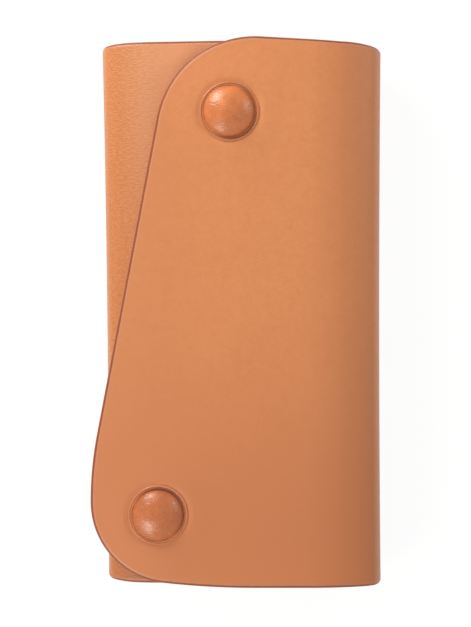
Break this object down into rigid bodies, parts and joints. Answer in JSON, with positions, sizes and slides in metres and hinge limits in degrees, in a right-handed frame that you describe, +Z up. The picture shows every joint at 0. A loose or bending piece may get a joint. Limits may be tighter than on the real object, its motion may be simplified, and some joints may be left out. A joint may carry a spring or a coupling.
{
  "type": "key case",
  "caption": "Closed tri-fold leather key case: a front flap with a slanting edge snaps over an inner wing; swivel key hooks on a rail inside.",
  "frame": {"origin": "on the surface that the back rests on, under the middle of the closed case's box", "axes": "+Y along the folds, towards the end with the upper snap; +X across, towards the flap's fold; +Z up through the layers, out of the front flap"},
  "size_m": [0.0606, 0.114, 0.0201],
  "materials": {
    "tan_leather": "smooth vegetable-tanned leather with burnished edges",
    "moulded_leather": "wet-moulded leather, darker and glossier",
    "lining_leather": "matt split leather",
    "nickel_plate": "bright nickel plate",
    "spring_steel": "satin",
    "steel_washer": "plain"
  },
  "bodies": {
    "case_back": {"back_outer": "tan_leather", "back_lining": "lining_leather", "key_rail": "nickel_plate", "rail_rivets": "nickel_plate", "rail_washers": "steel_washer"},
    "right_fold_1": {"right_fold_1": "tan_leather"},
    "left_fold_1": {"left_fold_1": "tan_leather"},
    "right_fold_2": {"right_fold_2": "tan_leather"},
    "left_fold_2": {"left_fold_2": "tan_leather"},
    "right_fold_3": {"right_fold_3": "tan_leather"},
    "left_fold_3": {"left_fold_3": "tan_leather"},
    "flap": {"flap_outer": "tan_leather", "flap_lining": "lining_leather", "upper_snap_cover": "moulded_leather", "upper_snap_cap": "nickel_plate", "upper_snap_socket": "nickel_plate", "upper_socket_spring": "spring_steel", "lower_snap_cover": "moulded_leather", "lower_snap_cap": "nickel_plate", "lower_snap_socket": "nickel_plate", "lower_socket_spring": "spring_steel"},
    "wing": {"wing_outer": "tan_leather", "wing_lining": "lining_leather", "upper_snap_stud": "nickel_plate", "upper_stud_post": "nickel_plate", "lower_snap_stud": "nickel_plate", "lower_stud_post": "nickel_plate"},
    "hook_1": {"key_hook_1": "nickel_plate", "hook_swivel_1": "nickel_plate", "gate_pin_1": "nickel_plate"},
    "gate_1": {"hook_gate_1": "spring_steel"},
    "hook_2": {"key_hook_2": "nickel_plate", "hook_swivel_2": "nickel_plate", "gate_pin_2": "nickel_plate"},
    "gate_2": {"hook_gate_2": "spring_steel"},
    "hook_3": {"key_hook_3": "nickel_plate", "hook_swivel_3": "nickel_plate", "gate_pin_3": "nickel_plate"},
    "gate_3": {"hook_gate_3": "spring_steel"},
    "hook_4": {"key_hook_4": "nickel_plate", "hook_swivel_4": "nickel_plate", "gate_pin_4": "nickel_plate"},
    "gate_4": {"hook_gate_4": "spring_steel"}
  },
  "joints": [
    {"name": "flap_fold_1", "type": "hinge", "parent": "case_back", "child": "right_fold_1", "pos_m": [0.02487, 0, 0.00067], "axis": [0, 1, 0], "range_deg": [0, 42]},
    {"name": "flap_fold_2", "type": "hinge", "parent": "right_fold_1", "child": "right_fold_2", "pos_m": [0.02963, 0, 0.00543], "axis": [0, 1, 0], "range_deg": [0, 42]},
    {"name": "flap_fold_3", "type": "hinge", "parent": "right_fold_2", "child": "right_fold_3", "pos_m": [0.02963, 0, 0.01217], "axis": [0, 1, 0], "range_deg": [0, 42]},
    {"name": "flap_fold_4", "type": "hinge", "parent": "right_fold_3", "child": "flap", "pos_m": [0.02487, 0, 0.01693], "axis": [0, 1, 0], "range_deg": [0, 42]},
    {"name": "wing_fold_1", "type": "hinge", "parent": "case_back", "child": "left_fold_1", "pos_m": [-0.02366, 0, 0.00051], "axis": [0, -1, 0], "range_deg": [0, 31.5]},
    {"name": "wing_fold_2", "type": "hinge", "parent": "left_fold_1", "child": "left_fold_2", "pos_m": [-0.02729, 0, 0.00414], "axis": [0, -1, 0], "range_deg": [0, 31.5]},
    {"name": "wing_fold_3", "type": "hinge", "parent": "left_fold_2", "child": "left_fold_3", "pos_m": [-0.02729, 0, 0.00926], "axis": [0, -1, 0], "range_deg": [0, 31.5]},
    {"name": "wing_fold_4", "type": "hinge", "parent": "left_fold_3", "child": "wing", "pos_m": [-0.02366, 0, 0.01289], "axis": [0, -1, 0], "range_deg": [0, 31.5]},
    {"name": "hook_swivel_1", "type": "hinge", "parent": "case_back", "child": "hook_1", "pos_m": [-0.0136, 0.04405, 0.0067], "axis": [0, 1, 0], "continuous": true},
    {"name": "gate_spring_1", "type": "hinge", "parent": "hook_1", "child": "gate_1", "pos_m": [-0.01275, 0.04095, 0.0067], "axis": [0, 0, -1], "range_deg": [0, 16], "stiffness_Nm_per_rad": 0.002, "springref_deg": -11.46},
    {"name": "hook_swivel_2", "type": "hinge", "parent": "case_back", "child": "hook_2", "pos_m": [-0.0044, 0.04405, 0.0067], "axis": [0, 1, 0], "continuous": true},
    {"name": "gate_spring_2", "type": "hinge", "parent": "hook_2", "child": "gate_2", "pos_m": [-0.00355, 0.04095, 0.0067], "axis": [0, 0, -1], "range_deg": [0, 16], "stiffness_Nm_per_rad": 0.002, "springref_deg": -11.46},
    {"name": "hook_swivel_3", "type": "hinge", "parent": "case_back", "child": "hook_3", "pos_m": [0.0048, 0.04405, 0.0067], "axis": [0, 1, 0], "continuous": true},
    {"name": "gate_spring_3", "type": "hinge", "parent": "hook_3", "child": "gate_3", "pos_m": [0.00565, 0.04095, 0.0067], "axis": [0, 0, -1], "range_deg": [0, 16], "stiffness_Nm_per_rad": 0.002, "springref_deg": -11.46},
    {"name": "hook_swivel_4", "type": "hinge", "parent": "case_back", "child": "hook_4", "pos_m": [0.014, 0.04405, 0.0067], "axis": [0, 1, 0], "continuous": true},
    {"name": "gate_spring_4", "type": "hinge", "parent": "hook_4", "child": "gate_4", "pos_m": [0.01485, 0.04095, 0.0067], "axis": [0, 0, -1], "range_deg": [0, 16], "stiffness_Nm_per_rad": 0.002, "springref_deg": -11.46}
  ],
  "couplings": [
    {"joint": "flap_fold_2", "follows": "flap_fold_1", "ratio": 1},
    {"joint": "flap_fold_3", "follows": "flap_fold_1", "ratio": 1},
    {"joint": "flap_fold_4", "follows": "flap_fold_1", "ratio": 1},
    {"joint": "wing_fold_1", "follows": "flap_fold_1", "ratio": 0.75},
    {"joint": "wing_fold_2", "follows": "flap_fold_1", "ratio": 0.75},
    {"joint": "wing_fold_3", "follows": "flap_fold_1", "ratio": 0.75},
    {"joint": "wing_fold_4", "follows": "flap_fold_1", "ratio": 0.75}
  ]
}
